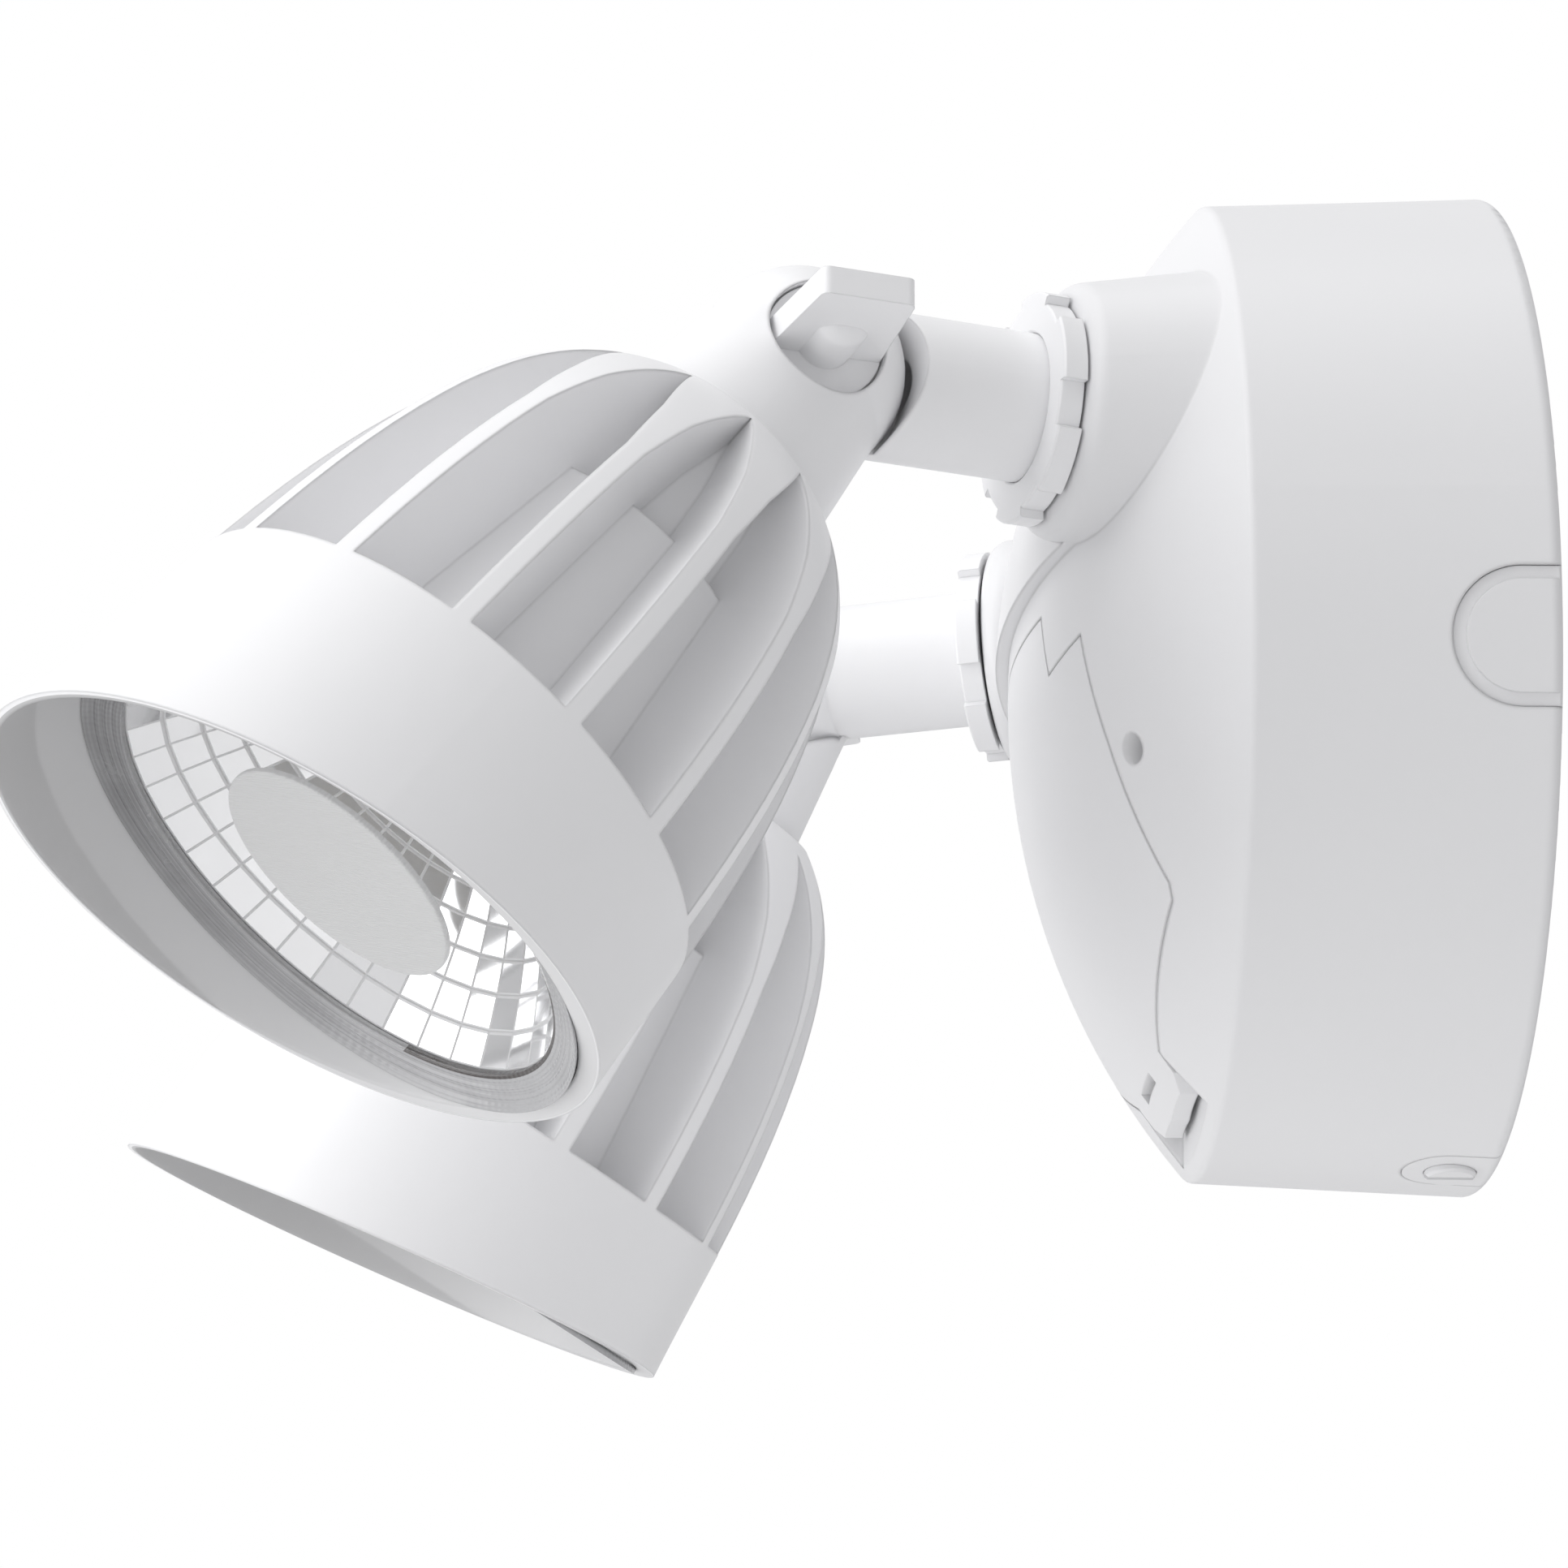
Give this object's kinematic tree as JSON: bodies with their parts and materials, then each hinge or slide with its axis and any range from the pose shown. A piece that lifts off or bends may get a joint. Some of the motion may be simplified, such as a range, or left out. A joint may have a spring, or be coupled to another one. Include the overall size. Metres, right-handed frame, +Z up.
{
  "type": "twin-head floodlight",
  "caption": "Wall floodlight with a round domed canopy, swivelling tube arms with locknuts, and finned bell-shaped lamp heads that tilt on knuckle joints with wing screws",
  "frame": {"origin": "centre of the canopy's back rim on the wall plane, which is also the centre of the slots in the mounting plate", "axes": "+Y points into the wall, so the lamp heads reach toward -Y; +Z is up; +X is to the right seen from in front"},
  "size_m": [0.2384, 0.2089, 0.1588],
  "materials": {
    "white_canopy": "satin moulded",
    "white_cover": "satin moulded",
    "white_plug": "satin moulded",
    "white_cast": "white powder coat on a die casting",
    "white_nut": "white powder coat",
    "seal_rubber": "moulded",
    "foam": "closed-cell foam",
    "zinc_plate": "zinc plated",
    "zinc_screw": "zinc plated",
    "ground_green": "green dyed",
    "white_screw": "painted",
    "driver_case": "matte",
    "board_green": "solder mask",
    "terminal_grey": "glossy",
    "clear_lens": "clear moulded",
    "frost": "finely ribbed frosted",
    "mirror_bowl": "vacuum metallised facets",
    "board_white": "white solder mask",
    "phosphor": "silicone with phosphor"
  },
  "bodies": {
    "canopy": {"canopy_shell": "white_canopy", "bottom_cap": "white_plug", "bottom_screw": "white_screw", "canopy_screws": "zinc_screw", "wall_gasket": "foam", "mounting_plate": "zinc_plate", "ground_screw": "ground_green", "driver_housing": "driver_case", "driver_board": "board_green", "driver_screws": "zinc_screw", "terminal_block": "terminal_grey", "terminal_screws": "zinc_screw", "control_board": "board_green", "side_cap_right": "white_plug", "side_cap_left": "white_plug", "arm_seal_right": "seal_rubber", "arm_seal_left": "seal_rubber"},
    "cover": {"service_cover": "white_cover"},
    "arm_body_right": {"arm_right": "white_cast", "tilt_nut_right": "zinc_screw"},
    "locknut_body_right": {"locknut_right": "white_nut"},
    "head_body_right": {"head_housing_right": "white_cast", "lens_right": "clear_lens", "lens_gasket_right": "seal_rubber", "diffuser_right": "frost", "reflector_right": "mirror_bowl", "led_board_right": "board_white", "led_array_right": "phosphor", "board_screws_right": "zinc_screw"},
    "thumb_body_right": {"thumb_screw_right": "white_cast"},
    "arm_body_left": {"arm_left": "white_cast", "tilt_nut_left": "zinc_screw"},
    "locknut_body_left": {"locknut_left": "white_nut"},
    "head_body_left": {"head_housing_left": "white_cast", "lens_left": "clear_lens", "lens_gasket_left": "seal_rubber", "diffuser_left": "frost", "reflector_left": "mirror_bowl", "led_board_left": "board_white", "led_array_left": "phosphor", "board_screws_left": "zinc_screw"},
    "thumb_body_left": {"thumb_screw_left": "white_cast"}
  },
  "joints": [
    {"name": "cover_release", "type": "slide", "parent": "canopy", "child": "cover", "axis": [0, -1, 0], "range_m": [0, 0.008]},
    {"name": "arm_swivel_right", "type": "hinge", "parent": "canopy", "child": "arm_body_right", "pos_m": [0.0435, -0.0662, 0.0251], "axis": [0.2924, -0.9563, 0], "range_deg": [-2, 75]},
    {"name": "locknut_turn_right", "type": "hinge", "parent": "arm_body_right", "child": "locknut_body_right", "pos_m": [0.0435, -0.0662, 0.0251], "axis": [0.2924, -0.9563, 0], "range_deg": [-180, 180]},
    {"name": "head_tilt_right", "type": "hinge", "parent": "arm_body_right", "child": "head_body_right", "pos_m": [0.05443, -0.10197, 0.0251], "axis": [0.9555, 0.2921, -0.0419], "range_deg": [-67, 3]},
    {"name": "thumb_screw_turn_right", "type": "hinge", "parent": "head_body_right", "child": "thumb_body_right", "pos_m": [0.05443, -0.10197, 0.0251], "axis": [0.9555, 0.2921, -0.0419], "range_deg": [-180, 180]},
    {"name": "arm_swivel_left", "type": "hinge", "parent": "canopy", "child": "arm_body_left", "pos_m": [-0.0435, -0.0662, 0.0251], "axis": [0.2924, 0.9563, 0], "range_deg": [-6, 75]},
    {"name": "locknut_turn_left", "type": "hinge", "parent": "arm_body_left", "child": "locknut_body_left", "pos_m": [-0.0435, -0.0662, 0.0251], "axis": [-0.2924, -0.9563, 0], "range_deg": [-180, 180]},
    {"name": "head_tilt_left", "type": "hinge", "parent": "arm_body_left", "child": "head_body_left", "pos_m": [-0.05443, -0.10197, 0.0251], "axis": [0.9542, -0.2917, -0.0663], "range_deg": [-70, 1]},
    {"name": "thumb_screw_turn_left", "type": "hinge", "parent": "head_body_left", "child": "thumb_body_left", "pos_m": [-0.05443, -0.10197, 0.0251], "axis": [0.9542, -0.2917, -0.0663], "range_deg": [-180, 180]}
  ]
}
